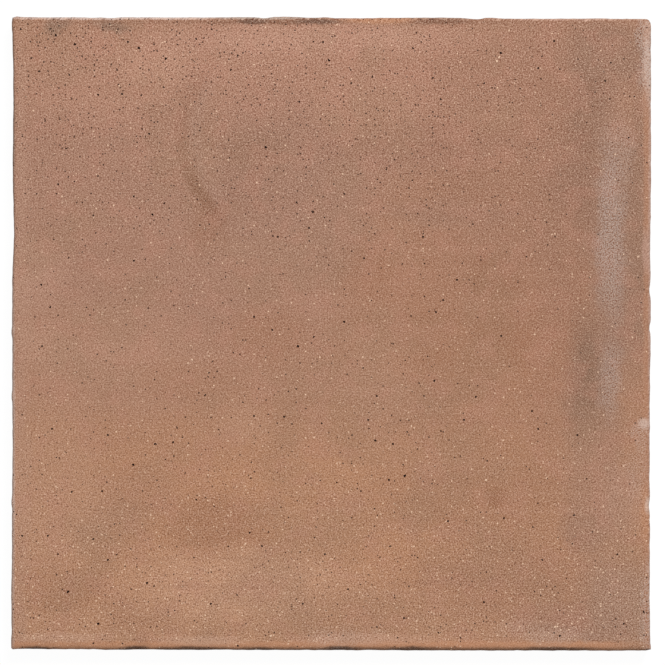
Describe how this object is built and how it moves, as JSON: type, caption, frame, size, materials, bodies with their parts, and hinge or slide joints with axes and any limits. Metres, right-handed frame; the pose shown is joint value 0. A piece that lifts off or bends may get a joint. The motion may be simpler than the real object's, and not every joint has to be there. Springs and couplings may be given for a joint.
{
  "type": "floor tile",
  "caption": "Square fired-clay floor tile with a wavy outline, a rolled edge round its walking face and a keyed back for bedding.",
  "frame": {"origin": "middle of the underside, on the bed or floor that the tile lies on", "axes": "+Z out of the walking face, +Y towards the back edge, +X towards the right edge, as seen from above"},
  "size_m": [0.2011, 0.1993, 0.009],
  "materials": {
    "fired_clay": "matte"
  },
  "bodies": {
    "root": {"floor_tile": "fired_clay"}
  },
  "joints": []
}
